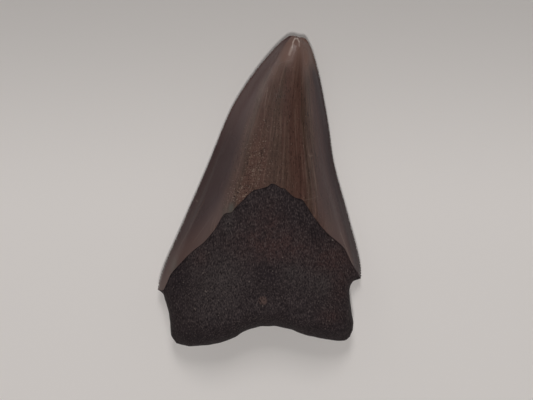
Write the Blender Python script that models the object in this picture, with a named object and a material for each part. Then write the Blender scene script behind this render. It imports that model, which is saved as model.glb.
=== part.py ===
"""A fossil megalodon tooth, lying on its flat outer face.

The crown is a leaning blade with a serrated cutting edge on each side. The root below
it is a thick body with two lobes and a shallow arch between them. The tooth grew as
one piece, so it is one object.

+Y runs from the root to the tip, +X to the right as seen from above, and +Z up from
the surface that the tooth lies on. The origin is the middle of the tooth's box, at its
bottom. The shape is worked out in millimetres and made in metres.
"""

import math

import bmesh
import bpy
import numpy as np
from mathutils import Vector, noise

METRES = 0.001

# The outline, seen from above: x and y in millimetres.
LEFT_CORNER = (-24.0, -23.2)
RIGHT_CORNER = (23.8, -20.7)
LEFT_HEEL = (-19.5, -35.7)
RIGHT_HEEL = (21.2, -34.2)
TIP_LEFT = (5.2, 35.0)
TIP_RIGHT = (11.0, 35.3)
LEFT_CUTTING_EDGE = (
    LEFT_CORNER,
    (-23.7, -21.2),
    (-22.3, -17.1),
    (-17.4, -5.9),
    (-12.5, 5.4),
    (-7.9, 16.7),
    (-5.0, 22.3),
    (-1.1, 28.0),
    (2.4, 32.2),
    TIP_LEFT,
)
RIGHT_CUTTING_EDGE = (
    RIGHT_CORNER,
    (24.0, -19.7),
    (23.4, -15.4),
    (20.9, -5.9),
    (17.8, 5.4),
    (16.3, 15.3),
    (14.5, 25.2),
    (12.8, 31.5),
    (11.8, 33.9),
    TIP_RIGHT,
)
TIP = (TIP_LEFT, (6.4, 35.9), (7.7, 36.3), (9.0, 35.95), (10.3, 35.8), TIP_RIGHT)
LEFT_ROOT_SIDE = (
    LEFT_HEEL,
    (-20.7, -34.0),
    (-21.1, -31.0),
    (-21.4, -28.4),
    (-22.2, -25.6),
    (-22.8, -24.1),
    LEFT_CORNER,
)
RIGHT_ROOT_SIDE = (
    RIGHT_HEEL,
    (21.9, -32.2),
    (21.9, -29.8),
    (21.1, -24.6),
    (21.9, -21.6),
    RIGHT_CORNER,
)
ROOT_BASE = (
    LEFT_HEEL,
    (-16.6, -36.3),
    (-11.0, -35.9),
    (-7.0, -34.6),
    (-2.1, -32.2),
    (2.0, -31.5),
    (5.9, -32.0),
    (10.8, -33.6),
    (16.5, -34.8),
    (19.7, -35.0),
    RIGHT_HEEL,
)

# Where the enamel of the crown ends on the root, on the upper and the lower face.
UPPER_ENAMEL_LINE = (
    LEFT_CORNER,
    (-22.4, -22.8),
    (-20.7, -19.2),
    (-18.6, -16.8),
    (-13.1, -11.7),
    (-11.0, -9.3),
    (-9.4, -6.8),
    (-7.7, -4.8),
    (-6.3, -4.3),
    (-2.9, -0.6),
    (-0.8, 0.8),
    (1.9, 1.6),
    (2.9, 2.1),
    (5.9, 1.0),
    (9.8, -1.5),
    (12.6, -5.6),
    (15.3, -9.0),
    (19.9, -13.4),
    (22.7, -18.7),
    RIGHT_CORNER,
)
LOWER_ENAMEL_LINE = (
    LEFT_CORNER,
    (-20.0, -19.6),
    (-12.0, -14.8),
    (1.0, -12.2),
    (12.0, -13.8),
    (20.0, -17.8),
    RIGHT_CORNER,
)

# Heights in millimetres at places along the tooth (y, height): of the rim above the
# surface, of the upper face's middle above the rim, and of the lower face's middle.
RIM_HEIGHT = (
    (-36.4, 5.4),
    (-29.0, 5.6),
    (-24.5, 4.4),
    (-21.0, 3.0),
    (-14.0, 2.4),
    (6.0, 2.0),
    (24.0, 1.9),
    (36.4, 2.8),
)
UPPER_RISE = (
    (-36.4, 6.6),
    (-31.0, 8.2),
    (-24.0, 9.2),
    (-17.0, 9.2),
    (-8.0, 8.3),
    (2.0, 7.0),
    (12.0, 5.7),
    (22.0, 4.4),
    (29.0, 3.2),
    (33.5, 2.0),
    (35.4, 1.1),
    (36.4, 0.0),
)
LOWER_LEVEL = (
    (-36.4, 1.4),
    (-29.0, 0.9),
    (-18.0, 1.1),
    (-6.0, 0.6),
    (6.0, 0.1),
    (13.0, -0.06),
    (20.0, 0.2),
    (28.0, 0.8),
    (36.4, 2.0),
)
# How full each cross-section is near the rim: (y, power of the distance, power of the
# rest). A rest of 0.5 rounds the side off, and one near 1 brings it to a sharp edge.
UPPER_FULLNESS = (
    (-36.4, 3.4, 0.5),
    (-25.5, 3.2, 0.5),
    (-22.5, 2.7, 0.62),
    (-17.0, 2.3, 0.78),
    (0.0, 2.2, 1.05),
    (36.4, 2.1, 1.1),
)
LOWER_FULLNESS = (
    (-36.4, 5.0, 0.5),
    (-25.5, 5.0, 0.5),
    (-22.0, 5.0, 0.8),
    (0.0, 4.5, 1.0),
    (36.4, 3.0, 1.0),
)

# Swellings and hollows: (x, y, half width, half length, height), in millimetres.
UPPER_LUMPS = (
    (0.6, -24.0, 10.0, 5.5, 1.7),
    (-13.5, -30.0, 5.0, 5.0, 1.2),
    (14.5, -29.5, 5.0, 5.0, 1.0),
    (1.7, -20.2, 3.0, 3.2, -0.7),
    (-14.0, -19.5, 4.5, 3.5, -0.7),
    (15.5, -18.5, 4.5, 3.5, -0.7),
    (2.5, -33.0, 6.0, 3.0, -0.8),
)
LOWER_LUMPS = (
    (-13.0, -29.3, 5.5, 4.2, -1.75),
    (13.0, -28.8, 5.5, 4.2, -1.6),
    (0.0, -16.0, 5.0, 5.0, 0.35),
)

# The enamel stands a little above the root along its line. Towards the rim, and on the
# lower face towards the tip between these values of -y, the step fades away.
ENAMEL_STEP = 0.35
ENAMEL_FADE = 1.6
LOWER_STEP_FADE = (0.0, 8.0)

# How the root rounds off towards its base, and how thin the crown's corners stay where
# they overhang the root.
BASE_ROUNDING = 6.5
BASE_FULLNESS = 2.8
OVERHANG_TAPER = 0.35

# A shallow crease along the right cutting edge, from its start in y to the tip.
MARGIN = 2.3
MARGIN_HALF_WIDTH = 1.2
MARGIN_DEPTH = 0.22
MARGIN_START = (-22.0, -10.0)

SERRATIONS = 72
SERRATION_DEPTH = 0.24
LUMP_SIZE = 3.2
ROOT_LUMP_HEIGHT = 0.16
CROWN_LUMP_HEIGHT = 0.03

# The nutrient foramen, a small round pore in the middle of the root: its place, its
# radius where it meets the surface, its depth, and how fast it narrows.
FORAMEN = (0.8, -24.3)
FORAMEN_RADIUS = 0.65
FORAMEN_DEPTH = 1.1
FORAMEN_TAPER = 0.65
FORAMEN_SIDES = 10

COLUMNS = 26
ROOT_ROWS = 20
CROWN_ROWS = 48
RIM_STEPS_PER_ROW = 3
RIM_STRIP = 0.55
CROWDING_AT_RIM = 0.62
STEP_ROW_GAP = 0.012
CURVE_SAMPLES = 60
TABLE_STEPS = 400
ROUNDING_STEPS = 12

TOOTH_COLOUR = (0.045, 0.028, 0.022, 1.0)
TOOTH_ROUGHNESS = 0.42


def clear_scene():
    """Remove every object that is in the scene."""
    for obj in list(bpy.data.objects):
        bpy.data.objects.remove(obj, do_unlink=True)


def make_material(name, colour, roughness):
    """Return a plain Principled material."""
    material = bpy.data.materials.new(name)
    material.use_nodes = True
    shader = material.node_tree.nodes["Principled BSDF"]
    shader.inputs["Base Color"].default_value = colour
    shader.inputs["Roughness"].default_value = roughness
    shader.inputs["Metallic"].default_value = 0.0
    return material


def smooth_curve(points):
    """Return closely spaced points of the Catmull-Rom curve through a few points."""
    knots = np.array(points, float)
    knots = np.vstack([2 * knots[0] - knots[1], knots, 2 * knots[-1] - knots[-2]])
    share = np.linspace(0.0, 1.0, CURVE_SAMPLES, endpoint=False)[:, None]
    pieces = []
    for before, start, end, after in zip(knots, knots[1:], knots[2:], knots[3:]):
        straight = 2 * start + (end - before) * share
        bend = (2 * before - 5 * start + 4 * end - after) * share**2
        twist = (3 * start - 3 * end + after - before) * share**3
        pieces.append((straight + bend + twist) / 2)
    return np.vstack([*pieces, knots[-2]])


def at_lengths(curve, shares):
    """Return the curve's points at shares of its own length."""
    steps = np.linalg.norm(np.diff(curve, axis=0), axis=1)
    length = np.concatenate([[0.0], np.cumsum(steps)])
    wanted = shares * length[-1]
    return np.column_stack([np.interp(wanted, length, curve[:, i]) for i in (0, 1)])


def at_widths(curve, shares):
    """Return the curve's points at shares of its extent in x."""
    x = np.maximum.accumulate(curve[:, 0])
    wanted = x[0] + shares * (x[-1] - x[0])
    return np.stack([wanted, np.interp(wanted, x, curve[:, 1])], axis=-1)


def crowded(count, at_start, at_end):
    """Return count + 1 shares from 0 to 1, closer together at the chosen ends."""
    even = np.linspace(0.0, 1.0, count + 1)
    if at_start and at_end:
        bunched = (1 - np.cos(math.pi * even)) / 2
    else:
        bunched = 1 - np.cos(math.pi * even / 2)
    return even + (bunched - even) * CROWDING_AT_RIM


def soft_step(value, low, high):
    """Rise smoothly from 0 at low to 1 at high."""
    share = np.clip((value - low) / (high - low), 0.0, 1.0)
    return share * share * (3 - 2 * share)


def along(table, y, column=1):
    """Read a table of (y, value, ...) rows at y, with a rounded course between them."""
    rows = np.array(table)
    fine = np.linspace(rows[0, 0], rows[-1, 0], TABLE_STEPS)
    values = np.interp(fine, rows[:, 0], rows[:, column])
    window = np.hanning(2 * ROUNDING_STEPS + 1)
    padded = np.pad(values, ROUNDING_STEPS, mode="reflect", reflect_type="odd")
    return np.interp(y, fine, np.convolve(padded, window / window.sum(), "valid"))


class Outline:
    """The tooth's smooth outline as seen from above."""

    def __init__(self):
        self.left_edge = smooth_curve(LEFT_CUTTING_EDGE)
        self.right_edge = smooth_curve(RIGHT_CUTTING_EDGE)
        self.left_side = smooth_curve(LEFT_ROOT_SIDE)
        self.right_side = smooth_curve(RIGHT_ROOT_SIDE)
        self.base = smooth_curve(ROOT_BASE)
        self.tip = smooth_curve(TIP)
        top = int(np.argmax(self.tip[:, 1]))
        left = np.vstack([self.left_side, self.left_edge[1:], self.tip[1 : top + 1]])
        right = np.vstack([self.right_side, self.right_edge[1:], self.tip[top:-1][::-1]])
        self.left = np.column_stack([np.maximum.accumulate(left[:, 1]), left[:, 0]])
        self.right = np.column_stack([np.maximum.accumulate(right[:, 1]), right[:, 0]])

    def distances(self, x, y):
        """Return how far (x, y) is from the left side, the right side and the base.

        The sides are read without the notches under the crown's corners, so that a
        notch in the rim doesn't run on across the faces.
        """
        sides = []
        for side, inward in ((self.left, 1), (self.right, -1)):
            notched = (x - np.interp(y, side[:, 0], side[:, 1])) * inward
            plain = (x - along(side, y)) * inward
            sides.append(np.maximum(plain, notched * OVERHANG_TAPER))
        base_y = np.interp(x, np.maximum.accumulate(self.base[:, 0]), self.base[:, 1])
        return sides[0], sides[1], y - base_y


def lumps(x, y, table):
    """Add up the swellings and hollows of a face."""
    total = np.zeros_like(x)
    for centre_x, centre_y, half_width, half_length, height in table:
        across = (x - centre_x) / half_width
        lengthwise = (y - centre_y) / half_length
        total += height * np.exp(-(across**2) - lengthwise**2)
    return total


def small_lumps(x, y):
    """Return the irregular small lumps of a worn surface, from about -1 to 1."""
    places = zip(np.ravel(x) / LUMP_SIZE, np.ravel(y) / LUMP_SIZE)
    values = [noise.noise(Vector((*place, 0.5))) for place in places]
    return np.reshape(values, np.shape(x))


def fullness(x, y, outline, table):
    """Return 0 at the rim and 1 in the middle of each cross-section."""
    from_left, from_right, from_base = outline.distances(x, y)
    width = np.maximum(from_left + from_right, 1e-6)
    off_middle = np.clip(np.abs(from_left - from_right) / width, 0.0, 1.0)
    rest = 1 - off_middle ** along(table, y, 1)
    sides = rest ** along(table, y, 2)
    to_base = np.clip(from_base / BASE_ROUNDING, 0.0, 1.0)
    return sides * np.sqrt(1 - (1 - to_base) ** BASE_FULLNESS)


def upper_height(x, y, outline, enamel):
    """Return the height of the upper face, on the enamel or on the root."""
    full = fullness(x, y, outline, UPPER_FULLNESS)
    from_left, from_right, from_base = outline.distances(x, y)
    rise = along(UPPER_RISE, y) + lumps(x, y, UPPER_LUMPS)
    height = along(RIM_HEIGHT, y) + rise * full
    from_rim = np.minimum(from_left, from_right)
    inside = soft_step(np.minimum(from_rim, from_base), 0.0, ENAMEL_FADE)
    crease = MARGIN_DEPTH * np.exp(-(((from_right - MARGIN) / MARGIN_HALF_WIDTH) ** 2))
    on_enamel = ENAMEL_STEP - crease * soft_step(y, *MARGIN_START)
    on_enamel = on_enamel + CROWN_LUMP_HEIGHT * small_lumps(x, y)
    on_root = ROOT_LUMP_HEIGHT * small_lumps(x, y)
    return height + np.where(enamel, on_enamel, on_root) * inside


def lower_height(x, y, outline, enamel):
    """Return the height of the lower face, cut off flat where it meets the surface."""
    full = fullness(x, y, outline, LOWER_FULLNESS)
    rim = along(RIM_HEIGHT, y)
    level = along(LOWER_LEVEL, y) + lumps(x, y, LOWER_LUMPS)
    level -= np.where(enamel, ENAMEL_STEP * soft_step(-y, *LOWER_STEP_FADE), 0.0)
    return np.maximum(rim - (rim - level) * full, 0.0)


def row_shares():
    """Return the shares of the root's length and of the crown's at which rows lie."""
    root = crowded(ROOT_ROWS, True, False)
    root[-2] = 1 - STEP_ROW_GAP
    return root, np.linspace(0.0, 1.0, CROWN_ROWS + 1)


def side_rows(root_side, cutting_edge):
    """Return one side's points at the rows of the grid, from the heel to the tip."""
    root_v, crown_v = row_shares()
    root = at_lengths(root_side, root_v)
    return np.vstack([root[:-1], at_lengths(cutting_edge, crown_v)])


def blend_patch(bottom, top, left, right, u, v):
    """Fill four border curves with rows of points, with shares u across and v upwards."""
    up = v[:, None, None]
    across = u[..., None]
    low = at_widths(bottom, u)
    high = at_widths(top, u)
    between_sides = left[:, None] * (1 - across) + right[:, None] * across
    low_chord = bottom[0] * (1 - across) + bottom[-1] * across
    high_chord = top[0] * (1 - across) + top[-1] * across
    return between_sides + (low - low_chord) * (1 - up) + (high - high_chord) * up


def plan_points(outline, enamel_line):
    """Return the grid of one face as seen from above, from the root's base to the tip."""
    root_v, crown_v = row_shares()
    left = side_rows(outline.left_side, outline.left_edge)
    right = side_rows(outline.right_side, outline.right_edge)
    strip = RIM_STRIP / np.linalg.norm(right - left, axis=1)[:, None]
    inner = crowded(COLUMNS - 2, True, True)[None]
    u = np.hstack([0 * strip, strip + (1 - 2 * strip) * inner, 0 * strip + 1])
    line = smooth_curve(enamel_line)
    low = slice(0, ROOT_ROWS + 1)
    high = slice(ROOT_ROWS, None)
    root = blend_patch(outline.base, line, left[low], right[low], u[low], root_v)
    crown = blend_patch(line, outline.tip, left[high], right[high], u[high], crown_v)
    return np.vstack([root[:-1], crown])


def face_points(outline, enamel_line, height_of):
    """Return the grid of points of one face."""
    plan = plan_points(outline, enamel_line)
    enamel = np.arange(len(plan))[:, None] >= ROOT_ROWS
    x, y = plan[..., 0], plan[..., 1]
    return np.dstack([x, y, height_of(x, y, outline, enamel)])


def serrated(curve, inward):
    """Return a cutting edge with its serrations, as points from its corner to the tip."""
    count = CROWN_ROWS * RIM_STEPS_PER_ROW
    points = at_lengths(curve, np.linspace(0.0, 1.0, count + 1))
    run = np.gradient(points, axis=0)
    run /= np.linalg.norm(run, axis=1)[:, None]
    normal = np.column_stack([run[:, 1], -run[:, 0]]) * inward
    notch = np.arange(count + 1) * SERRATIONS * 2 // count % 2
    notch[-1] = 0
    return points + normal * notch[:, None] * SERRATION_DEPTH


def on_rim(plan):
    """Give points seen from above the height of the rim."""
    return np.column_stack([plan, along(RIM_HEIGHT, plan[:, 1])])


def add_points(bm, points):
    """Add points given in millimetres to the mesh, and return them as vertices."""
    return [bm.verts.new(Vector(point) * METRES) for point in points]


def add_side(bm, root_side, cutting_edge, inward, ends):
    """Add one side of the rim, as a list of the vertices from each row to the next."""
    rows = side_rows(root_side, cutting_edge)
    root = add_points(bm, on_rim(rows[1:ROOT_ROWS]))
    crown = add_points(bm, on_rim(serrated(cutting_edge, inward)[:-1]))
    chain = [ends[0], *root, *crown, ends[1]]
    steps = [1] * ROOT_ROWS + [RIM_STEPS_PER_ROW] * CROWN_ROWS
    starts = np.concatenate([[0], np.cumsum(steps)])
    return [chain[low : high + 1] for low, high in zip(starts, starts[1:])]


def add_face(bm, corners, flip):
    """Add one face, the other way round if flip is set."""
    bm.faces.new(corners[::-1] if flip else corners)


def zip_rows(bm, outer, inner, flip):
    """Join two rows of vertices that lie side by side, though their numbers differ."""
    i = j = 0
    while i < len(outer) - 1 or j < len(inner) - 1:
        outer_next = (i + 1) * (len(inner) - 1)
        inner_next = (j + 1) * (len(outer) - 1)
        corners = [outer[i]]
        if outer_next <= inner_next:
            i += 1
            corners.append(outer[i])
        if inner_next <= outer_next:
            j += 1
            corners.append(inner[j])
            corners.append(inner[j - 1])
        else:
            corners.append(inner[j])
        add_face(bm, corners, flip)


def add_grid(bm, points, base, tip, left, right, flip):
    """Add one face of the tooth inside the rim."""
    inside = [add_points(bm, row[1:-1]) for row in points[1:-1]]
    rows = [base[1:-1], *inside, tip[1:-1]]
    for low, high, left_rim, right_rim in zip(rows, rows[1:], left, right):
        zip_rows(bm, left_rim, [low[0], high[0]], not flip)
        zip_rows(bm, right_rim, [low[-1], high[-1]], flip)
        for j in range(len(low) - 1):
            add_face(bm, [low[j], low[j + 1], high[j + 1], high[j]], flip)


def centre_box(bm):
    """Move the mesh so that the middle of its box is over the origin."""
    places = np.array([vertex.co for vertex in bm.verts])
    middle = (places.min(axis=0) + places.max(axis=0)) / 2
    shift = Vector((-middle[0], -middle[1], -places[:, 2].min()))
    bmesh.ops.translate(bm, verts=bm.verts, vec=shift)


def make_tooth(outline, material):
    """Build the tooth as one closed body."""
    upper = face_points(outline, UPPER_ENAMEL_LINE, upper_height)
    lower = face_points(outline, LOWER_ENAMEL_LINE, lower_height)
    bm = bmesh.new()
    base = add_points(bm, on_rim(upper[0, :, :2]))
    tip = add_points(bm, on_rim(upper[-1, :, :2]))
    left_ends = (base[0], tip[0])
    right_ends = (base[-1], tip[-1])
    left = add_side(bm, outline.left_side, outline.left_edge, 1, left_ends)
    right = add_side(bm, outline.right_side, outline.right_edge, -1, right_ends)
    add_grid(bm, upper, base, tip, left, right, False)
    add_grid(bm, lower, base, tip, left, right, True)
    centre_box(bm)
    mesh = bpy.data.meshes.new("tooth")
    bm.to_mesh(mesh)
    bm.free()
    mesh.shade_smooth()
    mesh.materials.append(material)
    tooth = bpy.data.objects.new("tooth", mesh)
    bpy.context.scene.collection.objects.link(tooth)
    return tooth


def cut_foramen(tooth, outline):
    """Cut the nutrient foramen, a small tapering pore, into the root."""
    x, y = FORAMEN
    top = float(upper_height(np.array([x]), np.array([y]), outline, False)[0])
    bpy.ops.mesh.primitive_cone_add(
        vertices=FORAMEN_SIDES,
        radius1=(1 - FORAMEN_TAPER) * FORAMEN_RADIUS * METRES,
        radius2=(1 + FORAMEN_TAPER) * FORAMEN_RADIUS * METRES,
        depth=2 * FORAMEN_DEPTH * METRES,
        location=(x * METRES, y * METRES, top * METRES),
    )
    cutter = bpy.context.object
    cutter.name = "foramen_cutter"
    cutter.hide_render = True
    cutter.display_type = "WIRE"
    cut = tooth.modifiers.new("foramen", "BOOLEAN")
    cut.operation = "DIFFERENCE"
    cut.object = cutter


def main():
    clear_scene()
    outline = Outline()
    enamel_and_root = make_material("fossil_tooth", TOOTH_COLOUR, TOOTH_ROUGHNESS)
    tooth = make_tooth(outline, enamel_and_root)
    cut_foramen(tooth, outline)


main()
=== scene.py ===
"""Dress a fossil megalodon tooth that lies on its flat outer face.

The tooth grew as one piece, so it is one mesh: a crown of polished enamel with two
serrated cutting edges, on a matt, porous root with two lobes. The mesh is worked out
in millimetres, from the same outline and heights as the solid that it replaces.
"""

import logging
import math
from dataclasses import dataclass, field
from enum import Enum
from functools import cached_property
from typing import Callable, Sequence

import bpy
import numpy as np
from mathutils import Matrix, Vector, noise


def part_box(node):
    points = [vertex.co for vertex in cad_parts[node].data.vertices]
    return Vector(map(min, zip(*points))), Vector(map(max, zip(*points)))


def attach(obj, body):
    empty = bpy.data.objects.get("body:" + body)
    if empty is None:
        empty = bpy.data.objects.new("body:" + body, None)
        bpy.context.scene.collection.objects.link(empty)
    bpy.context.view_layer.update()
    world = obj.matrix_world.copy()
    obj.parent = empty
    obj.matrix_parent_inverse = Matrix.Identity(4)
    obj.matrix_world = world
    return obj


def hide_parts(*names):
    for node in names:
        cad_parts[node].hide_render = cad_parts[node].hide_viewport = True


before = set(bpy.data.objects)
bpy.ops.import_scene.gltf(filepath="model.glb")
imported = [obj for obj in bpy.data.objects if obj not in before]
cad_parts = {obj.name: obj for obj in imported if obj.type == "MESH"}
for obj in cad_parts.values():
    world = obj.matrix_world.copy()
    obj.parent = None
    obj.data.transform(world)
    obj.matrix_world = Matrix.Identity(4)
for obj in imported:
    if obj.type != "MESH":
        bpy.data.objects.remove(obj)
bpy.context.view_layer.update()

LOG = logging.getLogger("tooth")
METRES = 0.001
NODE = "tooth"
SLOT = "fossil_tooth"
BODY = "root"
CRISP_ANGLE = 50.0
TINY = 1e-6

Array = np.ndarray
Colour = tuple[float, float, float]
Point = tuple[float, float]
Range = tuple[float, float]
Size = tuple[float, float]
Points = tuple[Point, ...]
Lines = tuple[tuple[Point, Point, float, float], ...]
Table = tuple[tuple[float, ...], ...]
Socket = bpy.types.NodeSocket


# ---------------------------------------------------------------- curves and tables


def smooth_curve(points: Points, samples: int = 60) -> Array:
    """Draw the Catmull-Rom curve through a few points.

    Args:
        points: The places that the curve goes through.
        samples: How many points each stretch between two places gets.

    Returns:
        The curve's points, one in each row.
    """
    knots = np.array(points, float)
    knots = np.vstack([2 * knots[0] - knots[1], knots, 2 * knots[-1] - knots[-2]])
    share = np.linspace(0.0, 1.0, samples, endpoint=False)[:, None]
    pieces = []
    for before, start, end, after in zip(knots, knots[1:], knots[2:], knots[3:]):
        straight = 2 * start + (end - before) * share
        bend = (2 * before - 5 * start + 4 * end - after) * share**2
        twist = (3 * start - 3 * end + after - before) * share**3
        pieces.append((straight + bend + twist) / 2)
    return np.vstack([*pieces, knots[-2]])


def at_lengths(curve: Array, shares: Array) -> Array:
    """Find points at shares of a curve's own length.

    Args:
        curve: The curve's points.
        shares: Numbers from 0, the start, to 1, the end.

    Returns:
        One point for each share.
    """
    steps = np.linalg.norm(np.diff(curve, axis=0), axis=1)
    length = np.concatenate([[0.0], np.cumsum(steps)])
    wanted = shares * length[-1]
    return np.column_stack([np.interp(wanted, length, curve[:, i]) for i in (0, 1)])


def at_widths(curve: Array, shares: Array) -> Array:
    """Find points at shares of a curve's extent in x.

    Args:
        curve: The curve's points, from left to right.
        shares: Numbers from 0, the left end, to 1, the right end.

    Returns:
        One point for each share, in the shape of shares.
    """
    x = np.maximum.accumulate(curve[:, 0])
    wanted = x[0] + shares * (x[-1] - x[0])
    return np.stack([wanted, np.interp(wanted, x, curve[:, 1])], axis=-1)


def along(table: Table | Array, y: Array, column: int = 1) -> Array:
    """Read a table of values at places along the tooth, rounding its corners off.

    Args:
        table: Rows of y and the values there.
        y: The places at which to read.
        column: Which value of each row to read.

    Returns:
        The value at each place.
    """
    steps, reach = 400, 12
    rows = np.array(table)
    fine = np.linspace(rows[0, 0], rows[-1, 0], steps)
    values = np.interp(fine, rows[:, 0], rows[:, column])
    window = np.hanning(2 * reach + 1)
    padded = np.pad(values, reach, mode="reflect", reflect_type="odd")
    return np.interp(y, fine, np.convolve(padded, window / window.sum(), "valid"))


def soft_step(value: Array, low: float, high: float) -> Array:
    """Rise smoothly from 0 where value is low to 1 where it is high."""
    share = np.clip((value - low) / (high - low), 0.0, 1.0)
    return share * share * (3 - 2 * share)


def crowded(count: int, both_ends: bool, crowding: float = 0.62) -> Array:
    """Space rows so that they crowd towards the start, or towards both ends.

    Args:
        count: The number of steps.
        both_ends: Whether the rows crowd towards both ends.
        crowding: 0 for even steps, up to 1 for fully crowded ones.

    Returns:
        count + 1 numbers from 0 to 1.
    """
    even = np.linspace(0.0, 1.0, count + 1)
    turn = math.pi * even
    bunched = (1 - np.cos(turn)) / 2 if both_ends else 1 - np.cos(turn / 2)
    return even + (bunched - even) * crowding


def sampled(read: Callable[[Vector], float], *places: Array | float) -> Array:
    """Call a noise function at every place.

    Args:
        read: What gives the number at one place.
        places: The x, y and z of the places.

    Returns:
        The numbers, in the shape of the places.
    """
    x, y, z = np.broadcast_arrays(*places)
    points = zip(x.ravel().tolist(), y.ravel().tolist(), z.ravel().tolist())
    return np.array([read(Vector(point)) for point in points]).reshape(x.shape)


def grain(x: Array, y: Array, size: Size, octaves: float, seed: float) -> Array:
    """Work out an irregular pattern over a face.

    Args:
        x: Places across, in millimetres.
        y: Places along, in millimetres.
        size: How large its lumps are across and along, in millimetres.
        octaves: How many finer layers it has.
        seed: Which pattern of the many it is.

    Returns:
        A number from about -1 to 1 for each place.
    """
    falloff, finer = 0.9, 2.1

    def read(place: Vector) -> float:
        """Read the pattern at one place."""
        return noise.fractal(place, falloff, finer, octaves)

    return sampled(read, x / size[0], y / size[1], seed)


def pits(x: Array, y: Array, spacing: float, radius: float, seed: float) -> Array:
    """Scatter round pits over a face, about one in three cells of an uneven net.

    Args:
        x: Places across, in millimetres.
        y: Places along, in millimetres.
        spacing: The mean distance between the cells' middles, in millimetres.
        radius: The radius of the largest pits, in millimetres.
        seed: Which scatter of the many it is.

    Returns:
        0 away from the pits, rising to 1 in the middle of the deepest.
    """
    choice, contrast, least_size = 7.3, 2.2, 0.45

    def depth(place: Vector) -> float:
        """Read the pits' depth at one place.

        Args:
            place: The place, counted in cells of the net.

        Returns:
            The depth, from 0 to 1.
        """
        distances, middles = noise.voronoi(place)
        strength = max(0.0, noise.noise(middles[0] * choice) * contrast)
        size = radius / spacing * min(1.0, least_size + strength)
        return min(1.0, strength) * max(0.0, 1 - (distances[0] / size) ** 2)

    return sampled(depth, x / spacing, y / spacing, seed)


# ------------------------------------------------------------------ the tooth's form


class Surface(Enum):
    """The two surfaces of the tooth, by the number of their finish in the mesh."""

    ENAMEL = 0
    ROOT = 1


class Side(Enum):
    """The two sides of the tooth, by the way that leads inwards in x."""

    LEFT = 1
    RIGHT = -1


@dataclass
class Outline:
    """The tooth's outline seen from above, in millimetres."""

    left_cutting_edge: Points = (
        (-24.0, -23.2), (-23.7, -21.2), (-22.3, -17.1), (-17.4, -5.9), (-12.5, 5.4),
        (-7.9, 16.7), (-5.0, 22.3), (-1.1, 28.0), (2.4, 32.2), (5.2, 35.0),
    )
    right_cutting_edge: Points = (
        (23.8, -20.7), (24.0, -19.7), (23.4, -15.4), (20.9, -5.9), (17.8, 5.4),
        (16.3, 15.3), (14.5, 25.2), (12.8, 31.5), (11.8, 33.9), (11.0, 35.3),
    )
    tip: Points = (
        (5.2, 35.0), (6.4, 35.9), (7.7, 36.3), (9.0, 35.95), (10.3, 35.8),
        (11.0, 35.3),
    )
    left_root_side: Points = (
        (-19.5, -35.7), (-20.7, -34.0), (-21.1, -31.0), (-21.4, -28.4), (-22.2, -25.6),
        (-22.8, -24.1), (-24.0, -23.2),
    )
    right_root_side: Points = (
        (21.2, -34.2), (21.9, -32.2), (21.9, -29.8), (21.1, -24.6), (21.9, -21.6),
        (23.8, -20.7),
    )
    root_base: Points = (
        (-19.5, -35.7), (-16.6, -36.3), (-11.0, -35.9), (-7.0, -34.6), (-2.1, -32.2),
        (2.0, -31.5), (5.9, -32.0), (10.8, -33.6), (16.5, -34.8), (19.7, -35.0),
        (21.2, -34.2),
    )
    overhang_taper: float = 0.35
    rim_height: Table = (
        (-36.4, 5.4), (-29.0, 5.6), (-24.5, 4.4), (-21.0, 3.0), (-14.0, 2.4),
        (6.0, 2.0), (24.0, 1.8), (36.4, 2.3),
    )

    def __post_init__(self) -> None:
        """Draw the curves, and join each side's into one from the heel to the tip."""
        self.base_curve = smooth_curve(self.root_base)
        self.tip_curve = smooth_curve(self.tip)
        self.sides = {
            Side.LEFT: smooth_curve(self.left_root_side),
            Side.RIGHT: smooth_curve(self.right_root_side),
        }
        self.edges = {
            Side.LEFT: smooth_curve(self.left_cutting_edge),
            Side.RIGHT: smooth_curve(self.right_cutting_edge),
        }
        top = int(np.argmax(self.tip_curve[:, 1]))
        tips = {Side.LEFT: self.tip_curve[1 : top + 1], Side.RIGHT: self.tip_curve[top:-1][::-1]}
        self.reach = {}
        for side in Side:
            whole = np.vstack([self.sides[side], self.edges[side][1:], tips[side]])
            self.reach[side] = np.column_stack([np.maximum.accumulate(whole[:, 1]), whole[:, 0]])

    def from_side(self, x: Array, y: Array, side: Side) -> Array:
        """Measure how far places are from one side, across the tooth.

        The side is read without the notch under the crown's corner, so that the notch
        doesn't run on across the faces.

        Args:
            x: Places across, in millimetres.
            y: Places along, in millimetres.
            side: The side to measure from.

        Returns:
            The distance of each place.
        """
        reach = self.reach[side]
        notched = (x - np.interp(y, reach[:, 0], reach[:, 1])) * side.value
        plain = (x - along(reach, y)) * side.value
        return np.maximum(plain, notched * self.overhang_taper)

    def from_base(self, x: Array, y: Array) -> Array:
        """Measure how far places are above the root's base."""
        curve = self.base_curve
        return y - np.interp(x, np.maximum.accumulate(curve[:, 0]), curve[:, 1])

    def from_rim(self, x: Array, y: Array) -> Array:
        """Measure how far places are inside the outline, from its nearest part."""
        left, right = (self.from_side(x, y, side) for side in Side)
        return np.minimum(np.minimum(left, right), self.from_base(x, y))


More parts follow.
